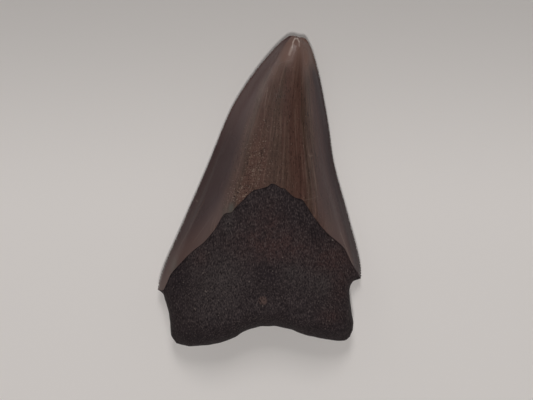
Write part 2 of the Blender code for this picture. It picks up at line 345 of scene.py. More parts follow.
@dataclass
class Face:
    """One face of the tooth: where its enamel ends, and how it rises from the rim.

    A row of the fullness table holds a place along the tooth, how broad the middle is
    there and how steep the sides are. A row of lumps is as swellings reads it.
    """

    outline: Outline
    enamel_line: Points = ()
    fullness_table: Table = ()
    ridge_share: float = 0.5
    ridge_turn: Range = (-24.0, 0.0)
    base_rounding: float = 6.5
    base_fullness: float = 2.8
    enamel_step: float = 0.28
    detail_fade: float = 3.2
    looks_down: bool = False
    seed: float = 0.5

    def __post_init__(self) -> None:
        """Draw the line at which the enamel ends."""
        self.line_curve = smooth_curve(self.enamel_line)

    def off_ridge(self, x: Array, y: Array) -> Array:
        """Tell how far places are from the ridge, towards the sides.

        Args:
            x: Places across, in millimetres.
            y: Places along, in millimetres.

        Returns:
            -1 at the left side, 0 on the ridge and 1 at the right side.
        """
        left = np.maximum(self.outline.from_side(x, y, Side.LEFT), 0.0)
        right = np.maximum(self.outline.from_side(x, y, Side.RIGHT), 0.0)
        share = left / np.maximum(left + right, TINY)
        ridge = 0.5 + (self.ridge_share - 0.5) * soft_step(y, *self.ridge_turn)
        return np.where(share < ridge, share / ridge - 1, (share - ridge) / (1 - ridge))

    def fullness(self, x: Array, y: Array) -> Array:
        """Tell how far each place has risen from the rim.

        Args:
            x: Places across, in millimetres.
            y: Places along, in millimetres.

        Returns:
            0 at the rim, and 1 in the middle of each cross-section.
        """
        off_ridge = np.clip(np.abs(self.off_ridge(x, y)), 0.0, 1.0)
        rest = 1 - off_ridge ** along(self.fullness_table, y, 1)
        sides = rest ** along(self.fullness_table, y, 2)
        to_base = np.clip(self.outline.from_base(x, y) / self.base_rounding, 0.0, 1.0)
        return sides * np.sqrt(1 - (1 - to_base) ** self.base_fullness)

    def above_line(self, x: Array, y: Array) -> Array:
        """Measure how far places are above the enamel's end, or below it where negative."""
        line_x = np.maximum.accumulate(self.line_curve[:, 0])
        return y - np.interp(x, line_x, self.line_curve[:, 1])

    def inside(self, x: Array, y: Array) -> Array:
        """Give 0 at the rim, rising to 1 where the face's detail is at its full height."""
        return soft_step(self.outline.from_rim(x, y), 0.0, self.detail_fade)

    def height(self, x: Array, y: Array, enamel: Array) -> Array:
        """Give the height of the face, which each face works out for itself."""
        raise NotImplementedError


def swellings(x: Array, y: Array, table: Table) -> Array:
    """Add up round swellings and hollows.

    Args:
        x: Places across, in millimetres.
        y: Places along, in millimetres.
        table: Each one's x, y, half width, half length and height.

    Returns:
        The height that they add at each place.
    """
    total = np.zeros_like(x)
    for centre_x, centre_y, half_width, half_length, height in table:
        across = (x - centre_x) / half_width
        lengthwise = (y - centre_y) / half_length
        total += height * np.exp(-(across**2) - lengthwise**2)
    return total


@dataclass(frozen=True)
class Layer:
    """A layer of relief: its lumps' size and height in millimetres, and its pattern."""

    size: Size
    height: float
    octaves: float = 1.0
    seed: float = 0.0

    def at(self, x: Array, y: Array, seed: float = 0.0) -> Array:
        """Give the layer's height at each place, in the pattern of one face."""
        return self.height * grain(x, y, self.size, self.octaves, self.seed + seed)


@dataclass
class RootRelief:
    """The root's porous surface: lumps, fibres along it, and pits, in millimetres."""

    lumps: Layer = Layer((3.2, 3.2), 0.12)
    knobs: Layer = Layer((0.8, 0.8), 0.035, 2.0, 3.0)
    fibres: Layer = Layer((0.42, 0.9), 0.06, 2.0, 5.0)
    pit_spacing: float = 1.0
    pit_radius: float = 0.30
    pit_depth: float = 0.13
    pit_seed: float = 7.0
    wobble_size: Size = (1.9, 1.9)
    wobble_seeds: tuple[float, float] = (31.5, 37.5)
    wobble: float = 0.20

    def height(self, x: Array, y: Array, seed: float) -> Array:
        """Work out how far the surface stands in or out.

        Args:
            x: Places across, in millimetres.
            y: Places along, in millimetres.
            seed: Which pattern of the many it is.

        Returns:
            The height at each place.
        """
        hollow = pits(x, y, self.pit_spacing, self.pit_radius, seed + self.pit_seed)
        raised = sum(layer.at(x, y, seed) for layer in (self.lumps, self.knobs, self.fibres))
        return raised - self.pit_depth * hollow

    def shift(self, plan: Array, strength: Array) -> Array:
        """Shift places seen from above a little, so that the outline isn't quite smooth.

        Args:
            plan: The places.
            strength: How much of the shift each place gets, from 0 to 1.

        Returns:
            The shifted places.
        """
        x, y = plan[..., 0], plan[..., 1]
        moves = [grain(x, y, self.wobble_size, 1.0, seed) for seed in self.wobble_seeds]
        return plan + self.wobble * strength[..., None] * np.stack(moves, axis=-1)


@dataclass
class EnamelRelief:
    """The crown's polished surface: long growth ridges and a faint swell."""

    swell: Layer = Layer((4.0, 9.0), 0.04)
    ridges: Layer = Layer((1.0, 16.0), 0.010, 2.0, 2.0)
    ridge_count: float = 46.0

    def height(self, x: Array, y: Array, share: Array, seed: float) -> Array:
        """Give how far places stand in or out, by their share of the way across."""
        return self.swell.at(x, y, seed) + self.ridges.at(share * self.ridge_count, y, seed)


@dataclass
class UpperFace(Face):
    """The inner face: a ridged crown, and a root that swells round its pore."""

    enamel_line: Points = (
        (-24.0, -23.2), (-22.6, -23.0), (-21.6, -21.1), (-20.7, -19.2), (-18.6, -16.8),
        (-15.8, -13.9), (-13.1, -11.7), (-11.0, -9.3), (-10.2, -8.2), (-9.4, -6.8),
        (-8.5, -5.3), (-7.7, -4.7), (-6.5, -4.5), (-5.7, -3.5), (-4.2, -2.0),
        (-2.9, -0.6), (-1.5, 0.6), (-0.8, 0.8), (1.1, 1.3), (1.9, 1.6),
        (2.8, 2.2), (3.9, 1.9), (4.8, 1.3), (5.9, 1.0), (6.7, 0.2),
        (8.2, -1.0), (9.8, -1.5), (10.6, -2.5), (12.6, -5.6), (15.3, -9.0),
        (18.5, -11.9), (19.9, -13.4), (21.3, -16.3), (22.7, -18.7), (23.8, -20.7),
    )
    fullness_table: Table = (
        (-36.4, 3.4, 0.5),
        (-25.5, 3.2, 0.5),
        (-22.5, 2.7, 0.62),
        (-17.0, 2.3, 0.78),
        (0.0, 2.2, 1.05),
        (36.4, 2.1, 1.1),
    )
    ridge_share: float = 0.53
    rise: Table = (
        (-36.4, 6.6), (-31.0, 8.2), (-24.0, 9.2), (-17.0, 9.2), (-8.0, 8.3),
        (2.0, 7.0), (12.0, 5.7), (22.0, 4.4), (28.5, 3.4), (31.0, 2.95),
        (33.2, 2.5), (34.8, 1.95), (35.7, 1.3), (36.4, 0.0),
    )
    lumps: Table = (
        (0.6, -24.0, 10.0, 5.5, 1.7),
        (-13.5, -30.0, 5.0, 5.0, 1.2),
        (14.5, -29.5, 5.0, 5.0, 1.0),
        (1.7, -20.2, 3.0, 3.2, -0.7),
        (-14.0, -19.5, 4.5, 3.5, -0.7),
        (15.5, -18.5, 4.5, 3.5, -0.7),
        (2.5, -33.0, 6.0, 3.0, -0.8),
    )
    neck_depth: float = 0.12
    neck_width: float = 1.5
    margin: float = 2.3
    margin_half_width: float = 1.2
    margin_depth: float = 0.22
    margin_start: Range = (-22.0, -10.0)
    margin_end: Range = (25.0, 31.0)
    foramen: Point = (0.8, -24.3)
    foramen_radius: float = 0.75
    foramen_depth: float = 0.45
    facet: Point = (8.5, 34.8)
    facet_size: Size = (0.62, 0.95)
    facet_rim: float = 0.06
    facet_rim_width: float = 0.3
    facet_rim_reach: Range = (-1.0, 0.2)
    facet_depth: float = 0.07
    facet_slope: Range = (0.5, 1.0)

    def height(self, x: Array, y: Array, enamel: Array) -> Array:
        """Work out the face's height above the surface that the tooth lies on.

        Args:
            x: Places across, in millimetres.
            y: Places along, in millimetres.
            enamel: Whether each place is on the enamel.

        Returns:
            The height of each place, without its fine relief.
        """
        from_right = self.outline.from_side(x, y, Side.RIGHT)
        rise = along(self.rise, y) + swellings(x, y, self.lumps)
        height = along(self.outline.rim_height, y) + rise * self.fullness(x, y)
        crease = np.exp(-(((from_right - self.margin) / self.margin_half_width) ** 2))
        above = self.above_line(x, y)
        along_margin = soft_step(y, *self.margin_start) - soft_step(y, *self.margin_end)
        on_enamel = self.enamel_step - self.margin_depth * crease * along_margin + self.worn_facet(x, y)
        neck = np.exp(-((above / self.neck_width) ** 2))
        off_pore = np.hypot(x - self.foramen[0], y - self.foramen[1]) / self.foramen_radius
        pore = np.exp(-(off_pore**4))
        on_root = -self.neck_depth * neck - self.foramen_depth * pore
        return height + np.where(enamel, on_enamel, on_root) * self.inside(x, y)

    def worn_facet(self, x: Array, y: Array) -> Array:
        """Work out the small worn facet at the tip, with its raised rim.

        Args:
            x: Places across, in millimetres.
            y: Places along, in millimetres.

        Returns:
            The height that it adds at each place.
        """
        across = (x - self.facet[0]) / self.facet_size[0]
        lengthwise = (y - self.facet[1]) / self.facet_size[1]
        off_middle = np.hypot(across, lengthwise)
        rim = np.exp(-(((off_middle - 1.0) / self.facet_rim_width) ** 2))
        rim *= soft_step(lengthwise, *self.facet_rim_reach)
        floor = 1 - soft_step(off_middle, *self.facet_slope)
        return self.facet_rim * rim - self.facet_depth * floor


@dataclass
class LowerFace(Face):
    """The outer face: nearly flat, and resting on the crown and on both lobes."""

    enamel_line: Points = (
        (-24.0, -23.2), (-20.0, -19.6), (-12.0, -14.8), (1.0, -12.2), (12.0, -13.8),
        (20.0, -17.8), (23.8, -20.7),
    )
    fullness_table: Table = (
        (-36.4, 5.0, 0.5),
        (-25.5, 5.0, 0.5),
        (-22.0, 5.0, 0.8),
        (0.0, 4.5, 1.0),
        (36.4, 3.0, 1.0),
    )
    level: Table = (
        (-36.4, 1.4), (-29.0, 0.9), (-18.0, 1.1), (-6.0, 0.6), (6.0, 0.1),
        (13.0, -0.06), (20.0, 0.2), (28.0, 0.6), (36.4, 1.4),
    )
    lumps: Table = (
        (-13.0, -29.3, 5.5, 4.2, -1.75),
        (13.0, -28.8, 5.5, 4.2, -1.6),
        (0.0, -16.0, 5.0, 5.0, 0.35),
    )
    step_fade: Range = (0.0, 8.0)
    detail_fade: float = 1.6
    looks_down: bool = True
    seed: float = 20.5

    def height(self, x: Array, y: Array, enamel: Array) -> Array:
        """Work out the face's height above the surface that the tooth lies on.

        Args:
            x: Places across, in millimetres.
            y: Places along, in millimetres.
            enamel: Whether each place is on the enamel.

        Returns:
            The height of each place, without its fine relief.
        """
        rim = along(self.outline.rim_height, y)
        level = along(self.level, y) + swellings(x, y, self.lumps)
        step = self.enamel_step * soft_step(-y, *self.step_fade)
        level -= np.where(enamel, step, 0.0)
        return rim - (rim - level) * self.fullness(x, y)


@dataclass
class Serrations:
    """The fine saw teeth of a cutting edge, in millimetres."""

    count: int = 92
    depth: float = 0.50
    left_share: float = 0.55
    unevenness: float = 0.35
    variety: float = 0.73
    seed: float = 0.3
    roundness: float = 0.7
    worn_at_tip: Range = (0.0, 5.0)
    worn_at_corner: Range = (0.0, 0.8)

    def cut(self, curve: Array, shares: Array, side: Side) -> Array:
        """Cut the serrations into a cutting edge.

        Args:
            curve: The smooth edge, from the crown's corner to the tip.
            shares: The shares of its length at which points are wanted.
            side: The side of the tooth that the edge is on.

        Returns:
            The points of the serrated edge.
        """
        points = at_lengths(curve, shares)
        run = np.gradient(points, axis=0)
        run /= np.linalg.norm(run, axis=1)[:, None]
        inwards = np.column_stack([run[:, 1], -run[:, 0]]) * side.value
        turn = shares * self.count
        notch = 0.5 + 0.5 * np.cos(2 * math.pi * turn)
        tooth = np.floor(turn + 0.5)
        vary = sampled(noise.noise, tooth * self.variety, side.value, self.seed)
        depth = self.depth * (self.left_share if side is Side.LEFT else 1.0)
        size = depth * (1 - self.unevenness * (0.5 + vary))
        to_tip = points[-1, 1] - points[:, 1]
        to_corner = points[:, 1] - points[0, 1]
        worn = soft_step(to_tip, *self.worn_at_tip) * soft_step(to_corner, *self.worn_at_corner)
        cut = (1 - notch) ** self.roundness * size * worn
        return points + inwards * cut[:, None]


# ---------------------------------------------------------------------- the finishes


@dataclass(frozen=True)
class Pattern:
    """A soft noise, read at the place on the object or along the crown's growth.

    The scale is the number of its lumps in a metre, or in a unit of the growth. The
    squeeze is below 1 where the lumps are long.
    """

    scale: float
    detail: float = 2.0
    roughness: float = 0.5
    squeeze: float = 1.0
    grown: bool = False


@dataclass(frozen=True)
class Wash:
    """A colour laid on where a pattern is strong, and where a mark of the mesh calls for it."""

    pattern: Pattern
    reach: Range
    colour: Colour
    strength: float = 1.0
    mark: str = ""


@dataclass(frozen=True)
class Bump:
    """A fine relief made from a pattern: its depth in millimetres, and how much shows."""

    pattern: Pattern
    depth: float
    strength: float


@dataclass
class Graph:
    """The nodes of a material or of the room, with a short call for each kind in use."""

    owner: bpy.types.Material | bpy.types.World
    noises: dict[Pattern, Socket] = field(default_factory=dict)

    def __post_init__(self) -> None:
        """Start with an empty tree."""
        self.owner.use_nodes = True
        self.tree = self.owner.node_tree
        self.tree.nodes.clear()

    @cached_property
    def place(self) -> Socket:
        """Give the place on the object, in metres."""
        return self.node("ShaderNodeTexCoord", {}).outputs["Object"]

    @cached_property
    def growth(self) -> Socket:
        """Give the place across and along the crown, for what follows its growth."""
        inputs = {"X": self.mark("across"), "Y": self.mark("lengthwise")}
        return self.node("ShaderNodeCombineXYZ", inputs).outputs[0]

    def node(self, kind: str, inputs: dict[str | int, object], **settings: object) -> bpy.types.Node:
        """Add a node.

        Args:
            kind: Blender's name of the node's type.
            inputs: What its sockets get, by their names or numbers.
            settings: The node's own properties.

        Returns:
            The new node.
        """
        made = self.tree.nodes.new(kind)
        for name, value in settings.items():
            setattr(made, name, value)
        for key, value in inputs.items():
            self.plug(made.inputs[key], value)
        return made

    def plug(self, socket: Socket, value: object) -> None:
        """Link a socket to another one, or set its value.

        Args:
            socket: The input to fill.
            value: A socket, a number, a vector or a colour.
        """
        if isinstance(value, bpy.types.NodeSocket):
            self.tree.links.new(value, socket)
        elif isinstance(value, tuple) and len(value) == 3 and socket.type == "RGBA":
            socket.default_value = (*value, 1.0)
        else:
            socket.default_value = value

    def mark(self, name: str) -> Socket:
        """Read one of the mesh's own marks."""
        return self.node("ShaderNodeAttribute", {}, attribute_name=name).outputs["Fac"]

    def math(self, operation: str, *values: object, clamp: bool = False) -> Socket:
        """Work out a number from others, by Blender's name of the sum."""
        inputs = dict(enumerate(values))
        return self.node("ShaderNodeMath", inputs, operation=operation, use_clamp=clamp).outputs[0]

    def product(self, first: object, *others: object) -> Socket:
        """Multiply numbers.

        Args:
            first: A number or a socket.
            others: What it is multiplied by.

        Returns:
            The result.
        """
        for other in others:
            first = self.math("MULTIPLY", first, other)
        return first

    def mixed(self, share: Socket, first: object, second: object) -> Socket:
        """Give a number between two, by a share."""
        return self.math("MULTIPLY_ADD", share, self.math("SUBTRACT", second, first), first)

    def between(self, value: Socket, low: float, high: float) -> Socket:
        """Rise smoothly from 0 where value is low to 1 where it is high."""
        inputs = {"Value": value, "From Min": low, "From Max": high}
        return self.node("ShaderNodeMapRange", inputs, interpolation_type="SMOOTHSTEP").outputs["Result"]

    def ramp(self, mark: str, reach: Range) -> Socket:
        """Rise smoothly from 0 to 1 where a mark of the mesh goes through a reach."""
        return self.between(self.mark(mark), *reach)

    def vectors(self, operation: str, *values: object) -> Socket:
        """Work out a sum of vectors.

        Args:
            operation: Blender's name of the sum.
            values: Its vectors or sockets.

        Returns:
            The result, a number where the sum gives one.
        """
        made = self.node("ShaderNodeVectorMath", dict(enumerate(values)), operation=operation)
        numeric = operation in ("DOT_PRODUCT", "LENGTH")
        return made.outputs["Value" if numeric else "Vector"]

    def apart(self, vector: Socket) -> tuple[Socket, Socket, Socket]:
        """Take a vector apart into its x, y and z."""
        return tuple(self.node("ShaderNodeSeparateXYZ", {0: vector}).outputs)

    def noise(self, pattern: Pattern) -> Socket:
        """Make a soft noise, once for each pattern.

        Args:
            pattern: Its lumps, and what they follow.

        Returns:
            Numbers from 0 to 1.
        """
        if pattern not in self.noises:
            place = self.growth if pattern.grown else self.place
            inputs = {
                "Vector": self.vectors("MULTIPLY", place, (1.0, pattern.squeeze, 1.0)),
                "Scale": pattern.scale,
                "Detail": pattern.detail,
                "Roughness": pattern.roughness,
            }
            self.noises[pattern] = self.node("ShaderNodeTexNoise", inputs).outputs[0]
        return self.noises[pattern]

    def cells(self, scale: float) -> tuple[Socket, Socket]:
        """Make an uneven net of cells: how far their middles are, and a colour for each."""
        made = self.node("ShaderNodeTexVoronoi", {"Vector": self.place, "Scale": scale})
        return made.outputs["Distance"], made.outputs["Color"]

    def blend(self, share: object, first: object, second: object) -> Socket:
        """Blend two colours, by how much of the second one there is."""
        inputs = {0: share, 6: first, 7: second}
        return self.node("ShaderNodeMix", inputs, data_type="RGBA").outputs[2]

    def washed(self, colour: object, *washes: Wash) -> Socket:
        """Lay washes over a colour, one after another.

        Args:
            colour: The colour that they are laid over.
            washes: What is laid on.

        Returns:
            The colour with the washes on it.
        """
        for wash in washes:
            share = self.product(self.between(self.noise(wash.pattern), *wash.reach), wash.strength)
            if wash.mark:
                share = self.product(share, self.mark(wash.mark))
            colour = self.blend(share, colour, wash.colour)
        return colour

    def line(self, start: Point, end: Point, half_width: float) -> Socket:
        """Draw a fine straight line on a face that looks up.

        Args:
            start: The x and y of its start, in millimetres.
            end: The x and y of its end, in millimetres.
            half_width: Half its width, in millimetres.

        Returns:
            1 on the line, falling to 0 beside it.
        """
        first, way = Vector((*start, 0.0)), Vector((*end, 0.0)) - Vector((*start, 0.0))
        flat = self.vectors("MULTIPLY", self.place, (1 / METRES, 1 / METRES, 0.0))
        off_start = self.vectors("SUBTRACT", flat, tuple(first))
        part = self.vectors("DOT_PRODUCT", off_start, tuple(way / way.length_squared))
        inputs = {0: tuple(way), "Scale": self.math("ADD", part, 0.0, clamp=True)}
        reach = self.node("ShaderNodeVectorMath", inputs, operation="SCALE").outputs[0]
        off_line = self.vectors("LENGTH", self.vectors("SUBTRACT", off_start, reach))
        return self.between(off_line, half_width, 0.0)

    def lined(self, colour: Socket, lines: Lines, tone: Colour) -> Socket:
        """Draw fine lines over a colour.

        Args:
            colour: The colour that they are drawn over.
            lines: Start, end, half width and strength of each.
            tone: Their own colour.

        Returns:
            The colour with the lines on it.
        """
        for start, end, half_width, strength in lines:
            share = self.product(self.line(start, end, half_width), strength)
            colour = self.blend(share, colour, tone)
        return colour

    def relief(self, *bumps: Bump) -> Socket:
        """Make a fine relief from bumps that lie on one another.

        Args:
            bumps: The relief's layers, the lowest one first.

        Returns:
            The normal for a shader.
        """
        under = {}
        for bump in bumps:
            inputs = {
                "Height": self.noise(bump.pattern),
                "Distance": bump.depth * METRES,
                "Strength": bump.strength,
            }
            under = {"Normal": self.node("ShaderNodeBump", inputs | under).outputs["Normal"]}
        return under["Normal"]

    def shade(self, kind: str, output: str, inputs: dict[str | int, object]) -> None:
        """Finish the tree with one shader and its output, by Blender's names of them."""
        self.node(output, {"Surface": self.node(kind, inputs).outputs[0]})


@dataclass(frozen=True)
class Finish:
    """A finish of a solid surface, with its name and how it is painted."""

    name: str = ""

    def inputs(self, graph: Graph) -> dict[str | int, object]:
        """Give the shader's inputs, which each finish works out for itself."""
        raise NotImplementedError

    def make(self) -> bpy.types.Material:
        """Build the material.

        Returns:
            The finished material.
        """
        material = bpy.data.materials.new(self.name)
        graph = Graph(material)
        graph.shade("ShaderNodeBsdfPrincipled", "ShaderNodeOutputMaterial", self.inputs(graph))
        return material


@dataclass(frozen=True)
class EnamelFinish(Finish):
    """Satin olive-brown enamel, streaked and mottled in the middle, mauve at the sides, with painted
    highlights at the tip and painted shade on the right margin.

    A reach says where something starts and where it is whole. Along the tooth and off
    its edge it is in millimetres, and across the crown it runs from -1 to 1.
    """

    name: str = "fossil_enamel"
    brown: Colour = (0.090, 0.0430, 0.0325)
    olive: Colour = (0.077, 0.0425, 0.0305)
    dark_fleck: Colour = (0.024, 0.012, 0.009)
    light_fleck: Colour = (0.190, 0.116, 0.086)
    pale_line: Colour = (0.220, 0.155, 0.120)
    salmon: Colour = (0.125, 0.062, 0.046)
    # the pale tip's colour: worn enamel that also carries a painted highlight
    tip: Colour = (0.190, 0.112, 0.090)
    remnant: Colour = (0.085, 0.073, 0.060)
    left_flank: Colour = (0.046, 0.0215, 0.0205)
    left_cloud: Colour = (0.079, 0.038, 0.034)
    right_flank: Colour = (0.064, 0.031, 0.028)
    heel: Colour = (0.090, 0.0465, 0.0395)
    # painted shade: the dark margin beyond the right crease, darker where it turns away from the light
    margin: Colour = (0.038, 0.0195, 0.0200)
    bands: Pattern = Pattern(0.33, 2.0, 0.6, 0.06, grown=True)
    streaks: Pattern = Pattern(1.7, 2.0, 0.7, 0.05, grown=True)
    flecks: Pattern = Pattern(3800.0, 2.0, 0.7, 0.24)
    patches: Pattern = Pattern(420.0, 3.0, 0.6)
    dots: Pattern = Pattern(3300.0, 1.0)
    clouds: Pattern = Pattern(0.30, 3.0, 0.6, 0.30, grown=True)
    washes: tuple[Wash, ...] = (
        Wash(bands, (0.42, 0.60), olive),
        Wash(flecks, (0.47, 0.31), dark_fleck, 0.75),
        Wash(streaks, (0.53, 0.68), light_fleck, 0.40),
        Wash(streaks, (0.48, 0.34), dark_fleck, 0.42),
        Wash(patches, (0.30, 0.62), salmon, 0.45, "mottled"),
        Wash(flecks, (0.59, 0.77), light_fleck, 1.0, "mottled"),
        Wash(dots, (0.41, 0.29), dark_fleck, 1.0, "mottled"),
    )
    pale_dot_gain: float = 0.11
    pale_dot_reach: Range = (0.72, 0.78)
    cloud_shift: Range = (0.4, -0.2)
    cloud_reach: Range = (8.0, 22.0)
    left_reach: Range = (0.50, 0.72)
    right_reach: Range = (0.57, 0.82)
    tip_reach: Range = (30.0, 22.0)
    margin_width: Range = (2.5, 1.2)
    margin_side: Range = (0.1, 0.4)
    margin_end: Range = (31.0, 26.0)
    roughness: float = 0.19
    gloss: float = 1.0
    ior: float = 1.58
    left_roughness: float = 0.27
    left_dulling: float = 0.20
    left_dull_side: Range = (0.0, -0.4)
    left_dull_reach: Range = (21.0, 4.0)
    heel_dulling: float = 0.20
    heel_reach: Range = (-4.0, -14.0)
    rim_dulling: float = 0.58
    rim_width: Range = (0.9, 0.3)
    low_rim_width: Range = (2.4, 0.3)
    low_rim_reach: Range = (20.0, 10.0)
    worn_reach: Range = (0.4, 1.0)
    worn_roughness: float = 0.33
    worn_gloss: float = 0.20
    # painted highlight: bright lines on the rim of the worn facet at the tip, and a bright patch below
    # it
    painted_highlight: Colour = (0.48, 0.38, 0.33)
    painted_highlight_lines: Lines = (
        ((7.55, 33.6), (7.75, 34.8), 0.25, 0.8),
        ((7.75, 34.8), (8.2, 35.65), 0.25, 1.0),
        ((8.2, 35.65), (8.85, 35.65), 0.25, 1.0),
        ((8.85, 35.65), (9.2, 34.9), 0.25, 1.0),
        ((9.2, 34.9), (9.2, 33.9), 0.22, 0.6),
        ((6.9, 32.0), (7.5, 33.6), 0.50, 0.45),
    )
    scratches_and_highlight: Lines = (
        ((1.9, 24.4), (1.3, 20.5), 0.12, 0.5),
        ((1.3, 20.5), (1.0, 16.8), 0.12, 0.4),
        ((10.1, -1.7), (11.9, -1.4), 0.11, 0.4),
        ((11.9, -1.4), (13.6, -0.9), 0.11, 0.3),
        ((11.3, 8.9), (11.7, 8.4), 0.13, 0.6),
        ((11.7, 8.4), (12.4, 8.6), 0.12, 0.5),
        ((8.0, 19.5), (8.6, 9.0), 0.12, 0.22),
        ((9.4, 20.0), (9.6, 11.0), 0.10, 0.18),
        ((6.6, 14.0), (6.6, 1.6), 0.12, 0.22),
        # painted highlight: the sheen along the right crease near the heel
        ((18.9, -9.6), (21.9, -17.4), 0.16, 0.35),
        ((-14.9, -2.2), (-14.6, -2.4), 0.16, 0.7),
        ((-12.9, -2.0), (-19.0, -13.5), 0.15, 0.14),
        ((-10.9, -5.2), (-15.6, -11.8), 0.13, 0.12),
    )
    ridges: Bump = Bump(Pattern(1.6, 3.0, 0.6, 0.03, grown=True), 0.05, 0.7)
    fine_grain: Bump = Bump(Pattern(3000.0, 3.0, 0.6, 0.4), 0.02, 0.6)

    def middle_colour(self, graph: Graph) -> Socket:
        """Paint the streaked and mottled middle of the crown.

        Args:
            graph: The material's nodes.

        Returns:
            The colour.
        """
        colour = graph.washed(self.brown, *self.washes)
        dots = graph.noise(self.dots)
        raised = graph.math("MULTIPLY_ADD", graph.mark("mottled"), self.pale_dot_gain, dots)
        return graph.blend(graph.between(raised, *self.pale_dot_reach), colour, self.pale_line)

    def sides_colour(self, graph: Graph, middle: Socket) -> Socket:
        """Paint the pale tip with its painted highlight, the darker sides and the dark right margin,
        whose darkness is painted shade.

        Args:
            graph: The material's nodes.
            middle: The colour of the middle.

        Returns:
            The colour.
        """
        shift = graph.math("MULTIPLY_ADD", graph.noise(self.clouds), *self.cloud_shift)
        off_ridge, near_root = graph.mark("off_ridge"), graph.mark("near_root")
        # the pale worn tip, with painted highlight along its ridges
        colour = graph.blend(graph.mark("pale"), middle, self.tip)
        clouded = graph.math("ADD", graph.ramp("lengthwise", self.cloud_reach), shift)
        left = graph.blend(clouded, self.left_flank, self.left_cloud)
        left = graph.blend(near_root, left, self.heel)
        to_left = graph.between(graph.math("SUBTRACT", shift, off_ridge), *self.left_reach)
        colour = graph.blend(to_left, colour, left)
        right = graph.blend(near_root, self.right_flank, self.heel)
        to_right = graph.between(graph.math("ADD", off_ridge, shift), *self.right_reach)
        to_right = graph.product(to_right, graph.ramp("lengthwise", self.tip_reach))
        colour = graph.blend(to_right, colour, right)
        # painted shade on the right margin beyond the crease
        painted_margin_shade = graph.product(
            graph.ramp("edge", self.margin_width),
            graph.ramp("off_ridge", self.margin_side),
            graph.ramp("lengthwise", self.margin_end),
        )
        return graph.blend(painted_margin_shade, colour, self.margin)

    def shine(self, graph: Graph) -> tuple[Socket, Socket]:
        """Dull the polish at the left, at the heel, at the rim and where the tip is worn.

        Args:
            graph: The material's nodes.

        Returns:
            The roughness and the gloss.
        """
        on_left = graph.ramp("off_ridge", self.left_dull_side)
        low_left = graph.product(on_left, graph.ramp("lengthwise", self.left_dull_reach))
        heel = graph.ramp("lengthwise", self.heel_reach)
        gloss = graph.math("MULTIPLY_ADD", low_left, -self.left_dulling, self.gloss)
        gloss = graph.math("MULTIPLY_ADD", heel, -self.heel_dulling, gloss)
        low = graph.ramp("lengthwise", self.low_rim_reach)
        low_rim = graph.product(low, graph.ramp("edge", self.low_rim_width))
        rim = graph.math("MAXIMUM", low_rim, graph.ramp("edge", self.rim_width))
        gloss = graph.product(gloss, graph.mixed(rim, 1.0, 1 - self.rim_dulling))
        rough = graph.mixed(on_left, self.roughness, self.left_roughness)
        worn = graph.ramp("pale", self.worn_reach)
        return graph.mixed(worn, rough, self.worn_roughness), graph.mixed(worn, gloss, self.worn_gloss)

    def inputs(self, graph: Graph) -> dict[str | int, object]:
        """Work out the shader's inputs.

        Args:
            graph: The material's nodes.

        Returns:
            What each of its sockets gets.
        """
        colour = self.sides_colour(graph, self.middle_colour(graph))
        colour = graph.blend(graph.mark("greyed"), colour, self.remnant)
        # fine pale lines, with one painted highlight along the right crease
        colour = graph.lined(colour, self.scratches_and_highlight, self.pale_line)
        # the painted highlight at the tip's facet
        colour = graph.lined(colour, self.painted_highlight_lines, self.painted_highlight)
        rough, gloss = self.shine(graph)
        return {
            "Base Color": colour,
            "Roughness": rough,
            "Specular IOR Level": gloss,
            "IOR": self.ior,
            "Normal": graph.relief(self.ridges, self.fine_grain),
        }


